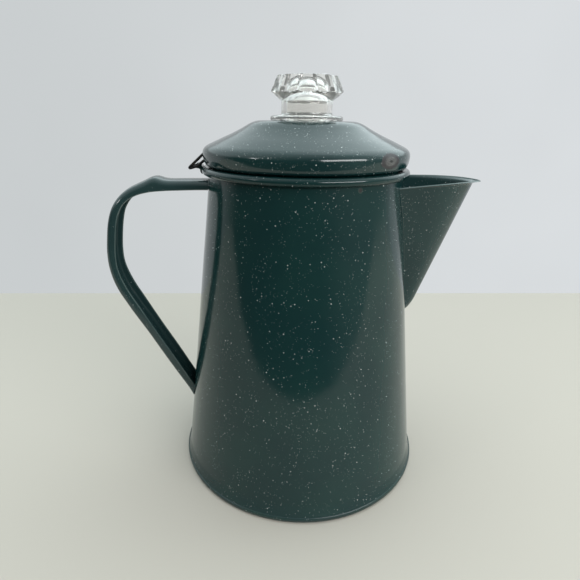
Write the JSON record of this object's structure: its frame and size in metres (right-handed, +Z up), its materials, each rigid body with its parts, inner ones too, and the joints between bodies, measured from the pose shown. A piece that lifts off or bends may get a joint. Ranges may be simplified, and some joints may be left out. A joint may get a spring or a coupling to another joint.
{
  "type": "coffee percolator",
  "caption": "Conical enamelled camping percolator with side handle, folded spout, hinged domed lid, clear knob, and a lift-out pump tube with basket.",
  "frame": {"origin": "centre of the foot ring, on the surface the pot stands on", "axes": "+Z up along the pot's axis, +X towards the spout, -X towards the handle"},
  "size_m": [0.2276, 0.16, 0.242],
  "materials": {
    "enamel": "deep green glass enamel on steel, glossy, with fine white specks",
    "dark_wire": "dark oxidised spring-steel wire",
    "clear_glass": "clear pressed glass, fluted",
    "aluminium": "plain pressed and drawn aluminium, satin"
  },
  "bodies": {
    "pot": {"pot_wall": "enamel", "base_plate": "enamel", "spout": "enamel", "handle": "enamel", "hinge_lug": "enamel"},
    "lid": {"lid_dome": "enamel", "lid_skirt": "enamel", "hinge_wire": "dark_wire"},
    "knob": {"glass_knob": "clear_glass"},
    "pump": {"pump_tube": "aluminium", "stop_ring": "aluminium", "pump_base": "aluminium"},
    "basket": {"basket_cup": "aluminium", "basket_sleeve": "aluminium"},
    "cover": {"basket_cover": "aluminium"}
  },
  "joints": [
    {"name": "lid_hinge", "type": "hinge", "parent": "pot", "child": "lid", "pos_m": [-0.0624, 0, 0.1934], "axis": [0, -1, 0], "range_deg": [0, 98]},
    {"name": "knob_twist", "type": "hinge", "parent": "lid", "child": "knob", "pos_m": [0, 0, 0.2185], "axis": [0, 0, 1], "range_deg": [0, 90]},
    {"name": "pump_lift", "type": "slide", "parent": "pot", "child": "pump", "axis": [0, 0, 1], "range_m": [0, 0.015]},
    {"name": "basket_lift", "type": "slide", "parent": "pump", "child": "basket", "axis": [0, 0, 1], "range_m": [0, 0.018]},
    {"name": "cover_lift", "type": "slide", "parent": "basket", "child": "cover", "axis": [0, 0, 1], "range_m": [0, 0.018]}
  ]
}
